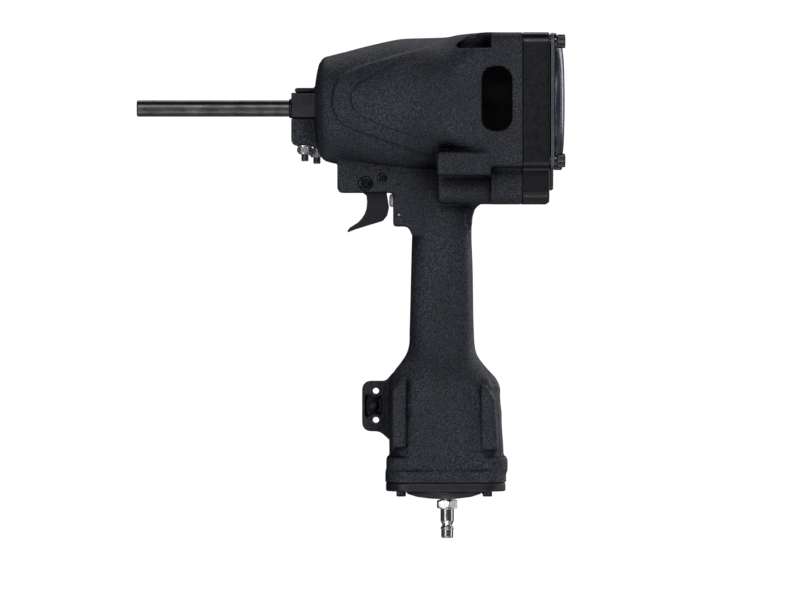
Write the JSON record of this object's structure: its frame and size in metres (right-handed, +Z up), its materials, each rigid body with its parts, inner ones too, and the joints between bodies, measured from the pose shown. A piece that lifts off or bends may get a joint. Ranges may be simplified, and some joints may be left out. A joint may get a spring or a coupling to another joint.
{
  "type": "pneumatic punch nailer",
  "caption": "Pistol-grip pneumatic nail punch: a piston drives a rod down a long bare nose tube; trigger, air chamber in the handle and plug fitting below.",
  "frame": {"origin": "centre of the whole tool's bounding box, which lies inside the handle below the trigger", "axes": "+Z up, from the air plug along the handle to the head; the nose tube points to -X and the rear cap faces +X; Y = 0 is the tool's middle plane and +Y is the side away from the trigger screw's head"},
  "size_m": [0.3119, 0.1006, 0.368],
  "materials": {
    "black_casting": "matte",
    "black_cap": "satin",
    "black_plate": "satin",
    "black_cover": "gloss",
    "black_fastener": "gloss",
    "rubber": "matte",
    "bare_aluminium": "satin",
    "spring_steel": "polished",
    "valve_plastic": "satin",
    "white_plastic": "satin",
    "dark_steel": "satin",
    "zinc_steel": "satin",
    "bright_plating": "polished",
    "gloss_badge": "gloss"
  },
  "bodies": {
    "tool": {"housing": "black_casting", "cylinder_cap": "black_cap", "cap_gasket": "rubber", "exhaust_plate": "black_plate", "exhaust_cover": "black_cover", "cap_bolt_1": "black_fastener", "cap_bolt_2": "black_fastener", "cap_bolt_3": "black_fastener", "cap_bolt_4": "black_fastener", "cap_washer_1": "black_fastener", "cap_washer_2": "black_fastener", "cap_washer_3": "black_fastener", "cap_washer_4": "black_fastener", "cylinder_sleeve": "bare_aluminium", "sleeve_ring_front": "rubber", "sleeve_ring_rear": "rubber", "bumper": "rubber", "head_valve_spring": "spring_steel", "nose_block": "dark_steel", "nose_tube": "dark_steel", "nose_clamp_screw_1": "zinc_steel", "nose_clamp_screw_2": "zinc_steel", "nose_washer_1": "zinc_steel", "nose_washer_2": "zinc_steel", "nose_lock_nut_1": "zinc_steel", "nose_lock_nut_2": "zinc_steel", "trigger_pin": "black_fastener", "trigger_pin_nut": "black_fastener", "trigger_stop_screw": "black_fastener", "trigger_valve_body": "valve_plastic", "trigger_valve_spring": "spring_steel", "valve_roll_pin": "zinc_steel", "end_cap": "black_cap", "end_cap_gasket": "rubber", "end_cap_screw_1": "black_fastener", "end_cap_screw_2": "black_fastener", "end_cap_screw_3": "black_fastener", "end_cap_screw_4": "black_fastener", "air_plug": "bright_plating", "badge_near": "gloss_badge", "badge_far": "gloss_badge"},
    "trigger_lever": {"trigger": "black_cap"},
    "trigger_plunger": {"trigger_valve_plunger": "white_plastic"},
    "piston_group": {"piston": "bare_aluminium", "piston_ring": "rubber", "driver_rod": "spring_steel"},
    "valve_group": {"head_valve": "valve_plastic", "head_valve_ring": "rubber", "head_valve_seal": "rubber"}
  },
  "joints": [
    {"name": "trigger_pull", "type": "hinge", "parent": "tool", "child": "trigger_lever", "pos_m": [0.0111, 0, 0.0743], "axis": [0, -1, 0], "range_deg": [0, 9], "stiffness_Nm_per_rad": 0.4, "springref_deg": -6.88},
    {"name": "plunger_press", "type": "slide", "parent": "tool", "child": "trigger_plunger", "axis": [1, 0, 0], "range_m": [0, 0.0028], "deforming": ["trigger_valve_spring"]},
    {"name": "piston_stroke", "type": "slide", "parent": "tool", "child": "piston_group", "axis": [-1, 0, 0], "range_m": [0, 0.0875]},
    {"name": "head_valve_lift", "type": "slide", "parent": "tool", "child": "valve_group", "axis": [1, 0, 0], "range_m": [0, 0.004], "stiffness_N_per_m": 2000, "springref_m": -0.003, "deforming": ["head_valve_spring"]}
  ],
  "couplings": [
    {"joint": "plunger_press", "follows": "trigger_pull", "m_per_rad": 0.0175}
  ]
}
